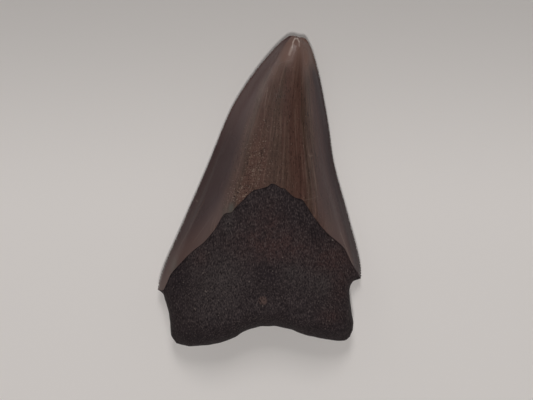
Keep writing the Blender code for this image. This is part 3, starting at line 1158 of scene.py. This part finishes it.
@dataclass(frozen=True)
class RootFinish(Finish):
    """Matt, near-black fossil bone with fine fibres and reddish patches, and painted shade along its
    borders, its base and under the enamel's edge.
    """

    name: str = "fossil_root"
    black: Colour = (0.036, 0.0265, 0.0275)
    hollow: Colour = (0.012, 0.008, 0.009)
    fleck: Colour = (0.100, 0.076, 0.072)
    speck: Colour = (0.20, 0.16, 0.14)
    infill: Colour = (0.104, 0.067, 0.058)
    stains_and_shade: tuple[tuple[str, Colour], ...] = (
        ("reddish", (0.056, 0.031, 0.029)),
        ("greyed", (0.056, 0.045, 0.044)),
        # painted shade on the root's borders, base and under the enamel's edge
        ("darkened", (0.022, 0.0155, 0.0180)),
    )
    fibres: Pattern = Pattern(3600.0, 2.0, 0.6, 0.45)
    mottle: Pattern = Pattern(700.0, 3.0, 0.6)
    washes: tuple[Wash, ...] = (
        Wash(mottle, (0.58, 0.34), hollow, 0.35),
        Wash(fibres, (0.49, 0.34), hollow, 0.95),
        Wash(fibres, (0.53, 0.70), fleck, 0.7),
    )
    speck_scale: float = 1300.0
    speck_choice: Range = (0.84, 0.92)
    speck_size: Range = (0.26, 0.12)
    speck_strength: float = 0.6
    pore_fill: Wash = Wash(fibres, (0.36, 0.50), infill, 1.0, "infill")
    grooves: Lines = (
        ((11.9, -8.2), (12.4, -11.9), 0.24, 0.9),
        ((12.8, -8.9), (13.3, -12.6), 0.22, 0.85),
        ((13.7, -9.7), (14.2, -13.2), 0.20, 0.7),
        ((9.0, -4.6), (9.6, -7.9), 0.20, 0.7),
    )
    chips: Lines = (
        ((16.95, -11.1), (17.1, -11.2), 0.22, 1.0),
        ((-15.1, -26.2), (-14.7, -26.7), 0.12, 0.7),
        ((-12.5, -22.4), (-12.3, -22.6), 0.17, 0.8),
        ((-9.6, -24.2), (-9.4, -24.3), 0.12, 0.6),
    )
    roughness: float = 0.75
    gloss: float = 0.10
    fibre_bump: Bump = Bump(fibres, 0.09, 0.9)

    def inputs(self, graph: Graph) -> dict[str | int, object]:
        """Work out the shader's inputs.

        Args:
            graph: The material's nodes.

        Returns:
            What each of its sockets gets.
        """
        colour = self.black
        # the root's own reddish and greyed tones, then the painted shade
        for mark, tint in self.stains_and_shade:
            colour = graph.blend(graph.mark(mark), colour, tint)
        colour = graph.washed(colour, *self.washes)
        distance, cell = graph.cells(self.speck_scale)
        chosen = graph.between(cell, *self.speck_choice)
        specks = graph.product(chosen, graph.between(distance, *self.speck_size), self.speck_strength)
        colour = graph.blend(specks, colour, self.speck)
        colour = graph.washed(colour, self.pore_fill)
        colour = graph.lined(colour, self.grooves, self.hollow)
        return {
            "Base Color": graph.lined(colour, self.chips, self.speck),
            "Roughness": self.roughness,
            "Specular IOR Level": self.gloss,
            "Normal": graph.relief(self.fibre_bump),
        }


@dataclass(frozen=True)
class FloorFinish(Finish):
    """A pale matt floor, with painted shade that darkens it beyond the tooth's tip."""

    name: str = "pale_floor"
    near: Colour = (0.86, 0.81, 0.775)
    far: Colour = (0.573, 0.540, 0.516)
    shade_reach: Range = (-8.0, 62.0)
    roughness: float = 0.7
    gloss: float = 0.2
    fine_grain: Bump = Bump(Pattern(900.0, 3.0), 0.02, 0.2)

    def inputs(self, graph: Graph) -> dict[str | int, object]:
        """Work out the shader's inputs.

        Args:
            graph: The material's nodes.

        Returns:
            What each of its sockets gets.
        """
        lengthwise = graph.apart(graph.place)[1]
        low, high = (limit * METRES for limit in self.shade_reach)
        return {
            # painted shade: the floor's colour darkens beyond the tip
            "Base Color": graph.blend(graph.between(lengthwise, low, high), self.near, self.far),
            "Roughness": self.roughness,
            "Specular IOR Level": self.gloss,
            "Normal": graph.relief(self.fine_grain),
        }


# ----------------------------------------------------------------- the tooth's mesh


def put_up(name: str, data: bpy.types.ID, place: Matrix | None = None) -> bpy.types.Object:
    """Put an object into the scene.

    Args:
        name: Its name.
        data: Its mesh, light or camera.
        place: Its matrix in the world, if it doesn't stand at the origin.

    Returns:
        The object.
    """
    made = bpy.data.objects.new(name, data)
    if place is not None:
        made.matrix_world = place
    bpy.context.scene.collection.objects.link(made)
    return made


@dataclass
class Stock:
    """The points, marks and faces of a mesh while it is being built."""

    points: list[Array] = field(default_factory=list)
    marks: dict[str, list[Array]] = field(default_factory=dict)
    faces: list[Sequence[int]] = field(default_factory=list)
    finishes: list[int] = field(default_factory=list)
    count: int = 0

    def add_points(self, points: Array, marks: dict[str, Array]) -> Array:
        """Add points with their marks.

        Args:
            points: A grid or a row of points, in millimetres.
            marks: The marks' numbers, each in the shape of the grid or the row.

        Returns:
            The points' numbers in the mesh, in the shape of the grid or the row.
        """
        shape = points.shape[:-1]
        size = int(np.prod(shape))
        self.points.append(points.reshape(-1, 3))
        for name, values in marks.items():
            self.marks.setdefault(name, []).append(np.broadcast_to(values, shape).ravel())
        numbers = np.arange(self.count, self.count + size).reshape(shape)
        self.count += size
        return numbers

    def add_face(self, corners: Sequence[int], flip: bool, surface: Surface) -> None:
        """Add one face by the numbers of its corners, turned over if flip is set."""
        self.faces.append(corners[::-1] if flip else corners)
        self.finishes.append(surface.value)

    def add_grid(self, numbers: Array, flip: bool, surface: Surface) -> None:
        """Add the faces of a grid of points.

        Args:
            numbers: The points' numbers, in rows.
            flip: Whether the faces are added the other way round.
            surface: The surface that they belong to.
        """
        low, high = numbers[:-1], numbers[1:]
        quads = np.stack([low[:, :-1], low[:, 1:], high[:, 1:], high[:, :-1]], axis=-1)
        quads = quads.reshape(-1, 4)
        quads = quads[:, ::-1] if flip else quads
        self.faces.extend(quads.tolist())
        self.finishes.extend([surface.value] * len(quads))

    def zip_rows(self, outer: Sequence[int], inner: Sequence[int], flip: bool, surface: Surface) -> None:
        """Join two rows of points that lie side by side, though their numbers differ.

        Args:
            outer: The points of the row at the rim.
            inner: The points of the row inside it.
            flip: Whether the faces are added the other way round.
            surface: The surface that they belong to.
        """
        i = j = 0
        while i < len(outer) - 1 or j < len(inner) - 1:
            outer_next = (i + 1) * (len(inner) - 1)
            inner_next = (j + 1) * (len(outer) - 1)
            corners = [int(outer[i])]
            if outer_next <= inner_next:
                i += 1
                corners.append(int(outer[i]))
            if inner_next <= outer_next:
                j += 1
                corners += [int(inner[j]), int(inner[j - 1])]
            else:
                corners.append(int(inner[j]))
            self.add_face(corners, flip, surface)

    def make_mesh(self, name: str, middle: Vector) -> bpy.types.Mesh:
        """Make the mesh, with the middle of its box's bottom over a given place.

        Args:
            name: The mesh's name.
            middle: The place, in metres.

        Returns:
            The finished mesh.
        """
        points = np.vstack(self.points) * METRES
        low, high = points.min(axis=0), points.max(axis=0)
        points += np.array(middle) - np.array([*(low + high)[:2] / 2, low[2]])
        mesh = bpy.data.meshes.new(name)
        mesh.from_pydata(points.tolist(), [], self.faces)
        mesh.polygons.foreach_set("material_index", self.finishes)
        for mark, values in self.marks.items():
            made = mesh.attributes.new(mark, "FLOAT", "POINT")
            made.data.foreach_set("value", np.concatenate(values).astype(np.float32))
        mesh.shade_smooth()
        mesh.set_sharp_from_angle(angle=math.radians(CRISP_ANGLE))
        mesh.validate()
        return mesh


@dataclass
class Tooth:
    """The whole tooth, as one closed mesh with two finishes.

    A row of a mark's table holds x, y, half width, half length and strength. The marks are the tooth's
    own tones, except for the root's painted shade and the painted highlight on the pale tip.
    """

    columns: int = 180
    root_rows: int = 156
    crown_rows: int = 96
    crown_spacing: Table = ((0.0, 0.0), (0.18, 0.08), (0.68, 0.88), (1.0, 1.0))
    rim_steps: int = 720
    rim_strip: float = 0.48
    step_row_gap: float = 0.005
    across_count: float = 46.0
    loose_from: Range = (0.3, 2.5)
    blotches: Layer = Layer((1.6, 1.6), 0.6, 2.0, 9.5)
    reddish: Table = (
        (3.0, -12.0, 9.0, 4.0, 0.9),
        (3.0, -5.5, 4.5, 4.0, 0.6),
        (16.5, -16.0, 5.0, 3.8, 0.9),
        (18.5, -22.5, 2.5, 3.0, 0.5),
        (-13.5, -15.2, 2.0, 2.5, 0.5),
        (16.3, -28.6, 2.4, 1.9, 0.65),
    )
    # painted shade: darker on the root's left border, along its base, under the enamel's edge and in the
    # hollow above the pore
    darkened: Table = (
        (-19.4, -19.5, 2.6, 6.5, 0.75),
        (1.8, -18.3, 2.8, 2.2, 0.8),
        (6.8, -4.0, 4.6, 3.6, 0.6),
        (12.8, -9.5, 1.8, 3.0, 0.5),
        (0.0, -31.5, 9.0, 3.0, 0.5),
        (-15.0, -34.0, 7.0, 3.0, 0.6),
        (15.0, -32.5, 6.0, 2.5, 0.5),
    )
    mottled: Table = (
        (-5.0, -0.5, 4.2, 3.4, 1.0),
        (-1.3, 7.0, 3.4, 6.5, 0.95),
        (1.0, 16.0, 1.8, 5.0, 0.5),
        (4.1, 15.0, 1.0, 2.6, 0.7),
        (4.5, 5.5, 5.0, 6.0, 0.35),
        (-17.0, -12.5, 3.0, 3.0, 0.35),
    )
    # pale worn enamel at the tip, with painted highlight and sheen along the tip's ridges and down its
    # left side
    pale: Table = (
        (7.6, 35.2, 4.0, 5.2, 0.95),
        (3.4, 28.2, 1.5, 2.8, 0.55),
        (0.9, 23.6, 1.3, 3.4, 0.35),
        (-1.6, 16.5, 1.5, 4.5, 0.22),
        (10.9, 30.4, 1.1, 3.2, 0.65),
        (5.3, 31.0, 1.0, 1.6, 0.35),
        (6.8, 31.2, 1.1, 1.8, 0.35),
        (17.6, -9.6, 2.0, 3.2, 0.35),
        (12.4, -2.0, 2.2, 2.6, 0.15),
    )
    greyed: Table = (
        (-6.5, -3.5, 0.6, 1.1, 1.0),
        (-9.3, -19.0, 5.5, 5.5, 0.85),
        (-11.0, -26.5, 6.0, 4.5, 0.4),
        (7.6, -18.0, 2.2, 1.8, 0.6),
        (14.7, -21.2, 2.4, 2.4, 0.7),
        (10.8, -20.0, 4.2, 3.6, 0.45),
        (-20.0, -17.5, 1.0, 2.0, 0.5),
        (-7.4, -7.0, 1.3, 3.0, 0.9),
    )
    root_reach: Range = (1.3, 7.0)
    infill_reach: Range = (0.65, 1.1)
    outline: Outline = field(default_factory=Outline)
    serrations: Serrations = field(default_factory=Serrations)
    root_relief: RootRelief = field(default_factory=RootRelief)
    enamel_relief: EnamelRelief = field(default_factory=EnamelRelief)
    enamel_finish: EnamelFinish = EnamelFinish()
    root_finish: RootFinish = RootFinish()

    def __post_init__(self) -> None:
        """Make the two faces and the shares at which the rows lie."""
        self.upper = UpperFace(self.outline)
        self.lower = LowerFace(self.outline)
        self.root_v = crowded(self.root_rows, False)
        self.root_v[-2] = 1 - self.step_row_gap
        even = np.linspace(0.0, 1.0, self.crown_rows + 1)
        spaced = np.interp(even, *np.array(self.crown_spacing).T)
        self.crown_v = np.unique(np.round(spaced * self.rim_steps) / self.rim_steps)

    def side_rows(self, side: Side) -> Array:
        """Find where the rows of the grid meet one side, without its serrations.

        Args:
            side: The side of the tooth.

        Returns:
            One point for each row, from the heel to the tip.
        """
        root = at_lengths(self.outline.sides[side], self.root_v)
        crown = at_lengths(self.outline.edges[side], self.crown_v)
        return np.vstack([root[:-1], crown])

    def plan(self, line: Array) -> tuple[Array, Array]:
        """Lay out one face as seen from above.

        Args:
            line: The curve at which the enamel ends.

        Returns:
            The grid's points, and how far across the tooth each one is.
        """
        left, right = self.side_rows(Side.LEFT), self.side_rows(Side.RIGHT)
        strip = self.rim_strip / np.linalg.norm(right - left, axis=1)[:, None]
        inner = crowded(self.columns - 2, True)[None]
        share = np.hstack([0 * strip, strip + (1 - 2 * strip) * inner, 0 * strip + 1])
        low, high = slice(0, self.root_rows + 1), slice(self.root_rows, None)
        base, tip = self.outline.base_curve, self.outline.tip_curve
        root = fill_patch(base, line, left[low], right[low], share[low], self.root_v)
        crown = fill_patch(line, tip, left[high], right[high], share[high], self.crown_v)
        return np.vstack([root[:-1], crown]), share

    def marks(self, face: Face, x: Array, y: Array, share: Array) -> dict[str, Array]:
        """Work out what the finishes read from the mesh.

        Args:
            face: The face that the places are on.
            x: Places across, in millimetres.
            y: Places along, in millimetres.
            share: How far across the tooth each place is, from 0 to 1.

        Returns:
            The numbers of each mark.
        """
        left = self.outline.from_side(x, y, Side.LEFT)
        right = self.outline.from_side(x, y, Side.RIGHT)
        off_pore = np.hypot(x - self.upper.foramen[0], y - self.upper.foramen[1])
        reddish = swellings(x, y, self.reddish) * (1 + self.blotches.at(x, y))
        return {
            "across": share * self.across_count,
            "lengthwise": y,
            "off_ridge": face.off_ridge(x, y),
            "edge": np.minimum(left, right),
            "reddish": np.clip(reddish, 0.0, 1.0),
            "mottled": np.clip(swellings(x, y, self.mottled), 0.0, 1.0),
            "pale": np.clip(swellings(x, y, self.pale), 0.0, 1.0),
            "greyed": np.clip(swellings(x, y, self.greyed), 0.0, 1.0),
            "darkened": np.clip(swellings(x, y, self.darkened), 0.0, 1.0),
            "near_root": 1 - soft_step(face.above_line(x, y), *self.root_reach),
            "infill": 1 - soft_step(off_pore, *self.infill_reach),
        }

    def loosen(self, plan: Array) -> Array:
        """Shift places on the root a little, so that its outline isn't quite smooth."""
        below = -self.upper.above_line(plan[..., 0], plan[..., 1])
        return self.root_relief.shift(plan, soft_step(below, *self.loose_from))

    def add_rim(self, stock: Stock, plan: Array, share: Array) -> Array:
        """Add points of the rim, at its height and with their marks.

        Args:
            stock: The mesh that is being built.
            plan: The points as seen from above.
            share: How far across the tooth each one is, from 0 to 1.

        Returns:
            The points' numbers in the mesh.
        """
        x, y = plan[:, 0], plan[:, 1]
        points = np.column_stack([self.loosen(plan), along(self.outline.rim_height, y)])
        return stock.add_points(points, self.marks(self.upper, x, y, share))

    def add_side(self, stock: Stock, side: Side, ends: tuple[int, int]) -> list[Array]:
        """Add one side of the rim.

        Args:
            stock: The mesh that is being built.
            side: The side of the tooth.
            ends: The numbers of the side's first and last point, which are there already.

        Returns:
            For each row of the grid, the numbers of the points from it to the next row.
        """
        fine = np.linspace(0.0, 1.0, self.rim_steps + 1)
        root = at_lengths(self.outline.sides[side], self.root_v)[:-1]
        crown = self.serrations.cut(self.outline.edges[side], fine, side)
        plan = np.vstack([root, crown])[1:-1]
        share = np.full(len(plan), 0.0 if side is Side.LEFT else 1.0)
        added = self.add_rim(stock, plan, share)
        chain = np.concatenate([[ends[0]], added, [ends[1]]])
        row_starts = np.searchsorted(fine, self.crown_v - TINY) + self.root_rows
        starts = np.concatenate([np.arange(self.root_rows), row_starts])
        return [chain[low : high + 1] for low, high in zip(starts, starts[1:])]

    def add_face(self, stock: Stock, face: Face, rim: dict[str, Array | list[Array]]) -> None:
        """Add one face of the tooth inside the rim.

        Args:
            stock: The mesh that is being built.
            face: The face to add.
            rim: The numbers of the rim's points: base, tip, left and right.
        """
        flip = face.looks_down
        plan, share = self.plan(face.line_curve)
        plan, share = plan[1:-1, 1:-1], share[1:-1, 1:-1]
        x, y = plan[..., 0], plan[..., 1]
        enamel = np.broadcast_to((np.arange(len(plan)) >= self.root_rows - 1)[:, None], x.shape)
        on_root = self.root_relief.height(x, y, face.seed)
        on_enamel = self.enamel_relief.height(x, y, share, face.seed)
        relief = np.where(enamel, on_enamel, on_root) * face.inside(x, y)
        height = face.height(x, y, enamel) + (-relief if flip else relief)
        points = np.dstack([self.loosen(plan), np.maximum(height, 0.0)])
        inside = stock.add_points(points, self.marks(face, x, y, share))
        rows = np.vstack([rim["base"][None, 1:-1], inside, rim["tip"][None, 1:-1]])
        stock.add_grid(rows[: self.root_rows + 1], flip, Surface.ROOT)
        stock.add_grid(rows[self.root_rows :], flip, Surface.ENAMEL)
        for i, (low, high) in enumerate(zip(rows, rows[1:])):
            surface = Surface.ROOT if i < self.root_rows else Surface.ENAMEL
            stock.zip_rows(rim["left"][i], [low[0], high[0]], not flip, surface)
            stock.zip_rows(rim["right"][i], [low[-1], high[-1]], flip, surface)

    def build(self) -> bpy.types.Object:
        """Build the tooth where the frame has it.

        Returns:
            The tooth, without its finishes.
        """
        plan, share = self.plan(self.upper.line_curve)
        stock = Stock()
        base, tip = (self.add_rim(stock, plan[i], share[i]) for i in (0, -1))
        rim = {
            "base": base,
            "tip": tip,
            "left": self.add_side(stock, Side.LEFT, (base[0], tip[0])),
            "right": self.add_side(stock, Side.RIGHT, (base[-1], tip[-1])),
        }
        for face in (self.upper, self.lower):
            self.add_face(stock, face, rim)
        low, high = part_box(NODE)
        middle = Vector(((low.x + high.x) / 2, (low.y + high.y) / 2, low.z))
        return put_up(SLOT, stock.make_mesh(SLOT, middle))

    def dress(self, tooth: bpy.types.Object) -> None:
        """Give the tooth its two finishes, in the order of the surfaces' numbers."""
        for finish in (self.enamel_finish, self.root_finish):
            tooth.data.materials.append(finish.make())


def fill_patch(bottom: Array, top: Array, left: Array, right: Array, share: Array, up: Array) -> Array:
    """Fill four border curves with rows of points.

    Args:
        bottom: The lower curve.
        top: The upper curve.
        left: The rows' points on the left side.
        right: The rows' points on the right side.
        share: How far across each point of each row lies.
        up: How far up each row lies.

    Returns:
        The grid's points, row by row.
    """
    rise = up[:, None, None]
    across = share[..., None]
    low, high = at_widths(bottom, share), at_widths(top, share)
    between = left[:, None] * (1 - across) + right[:, None] * across
    low_chord = bottom[0] * (1 - across) + bottom[-1] * across
    high_chord = top[0] * (1 - across) + top[-1] * across
    return between + (low - low_chord) * (1 - rise) + (high - high_chord) * rise


# ---------------------------------------------------------------------- the studio


@dataclass(frozen=True)
class Softbox:
    """A soft white light that looks at the tooth: place, size in metres, power in watts."""

    name: str
    place: tuple[float, float, float]
    size: Size
    power: float

    def make(self, target: Vector) -> None:
        """Put the light up.

        Args:
            target: What it looks at.
        """
        light = bpy.data.lights.new(self.name, "AREA")
        light.shape = "RECTANGLE"
        light.size, light.size_y = self.size
        light.energy = self.power
        place = Vector(self.place)
        turn = (target - place).to_track_quat("-Z", "Y").to_matrix().to_4x4()
        put_up(self.name, light, Matrix.Translation(place) @ turn)


@dataclass
class Studio:
    """The pale floor, the soft lights and the camera that looks down on the tooth."""

    floor_size: float = 3.0
    floor_finish: FloorFinish = FloorFinish()
    room_colour: Colour = (1.0, 1.0, 1.0)
    room_strength: float = 0.20
    room_lean: float = 0.28
    ceiling_share: float = 0.05
    ceiling_edge: Range = (0.50, 0.76)
    ceiling_lean: float = 0.13
    near_share: float = 0.55
    near_edge: Range = (0.3, -0.8)
    image_size: tuple[int, int] = (533, 400)
    millimetres_per_pixel: float = 0.2347
    view_middle: tuple[float, float, float] = (1.6, -2.1, 3.0)
    camera_distance: float = 0.45
    camera_tilt: float = 5.0
    sensor_width: float = 36.0
    softboxes: tuple[Softbox, ...] = (
        Softbox("left_softbox", (-0.54, 0.46, 0.39), (0.46, 0.30), 0.17),
        Softbox("back_softbox", (0.0, 0.54, 0.675), (0.20, 0.32), 1.9),
        Softbox("top_softbox", (0.0, -0.28, 0.95), (0.15, 0.24), 4.0),
    )

    def make_floor(self) -> bpy.types.Object:
        """Lay the floor.

        Returns:
            The floor.
        """
        half = self.floor_size / 2
        mesh = bpy.data.meshes.new("floor")
        corners = [(-half, -half, 0.0), (half, -half, 0.0), (half, half, 0.0), (-half, half, 0.0)]
        mesh.from_pydata(corners, [], [(0, 1, 2, 3)])
        mesh.materials.append(self.floor_finish.make())
        return put_up("floor", mesh)

    def make_room(self) -> None:
        """Fill the room with soft light from pale walls under a darker ceiling."""
        room = bpy.data.worlds.new("room")
        graph = Graph(room)
        x, y, z = graph.apart(graph.node("ShaderNodeTexCoord", {}).outputs["Generated"])
        ceiling = graph.between(graph.math("MULTIPLY_ADD", x, self.ceiling_lean, z), *self.ceiling_edge)
        strength = graph.product(
            graph.mixed(ceiling, 1.0, self.ceiling_share),
            graph.mixed(graph.between(y, *self.near_edge), 1.0, self.near_share),
            graph.math("MULTIPLY_ADD", x, self.room_lean, 1.0),
            self.room_strength,
        )
        inputs = {"Color": self.room_colour, "Strength": strength}
        graph.shade("ShaderNodeBackground", "ShaderNodeOutputWorld", inputs)
        bpy.context.scene.world = room

    def make_camera(self) -> None:
        """Set up the camera, looking down with the tip at the top of its view."""
        data = bpy.data.cameras.new("camera")
        data.sensor_width = self.sensor_width
        width = self.image_size[0] * self.millimetres_per_pixel * METRES
        data.lens = self.sensor_width * self.camera_distance / width
        tilt = math.radians(self.camera_tilt)
        back = Vector((0.0, math.sin(tilt), math.cos(tilt))) * self.camera_distance
        place = Vector(self.view_middle) * METRES + back
        aim = Matrix.Rotation(-tilt, 4, "X")
        bpy.context.scene.camera = put_up("camera", data, Matrix.Translation(place) @ aim)

    def build(self) -> None:
        """Build the whole studio round the tooth."""
        self.make_floor()
        self.make_room()
        for softbox in self.softboxes:
            softbox.make(Vector((0.0, 0.0, 0.0)))
        self.make_camera()
        bpy.context.scene.view_settings.view_transform = "Standard"


def main() -> None:
    """Build the tooth and the studio, and tell the frame what the tooth stands for."""
    logging.basicConfig(level=logging.INFO, format="%(name)s: %(message)s")
    form = Tooth()
    tooth = form.build()
    form.dress(tooth)
    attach(tooth, BODY)
    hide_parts(NODE)
    LOG.info("%s: %d faces", tooth.name, len(tooth.data.polygons))
    Studio().build()
    LOG.info("studio: floor, lights and camera")


if __name__ == "__main__":
    main()
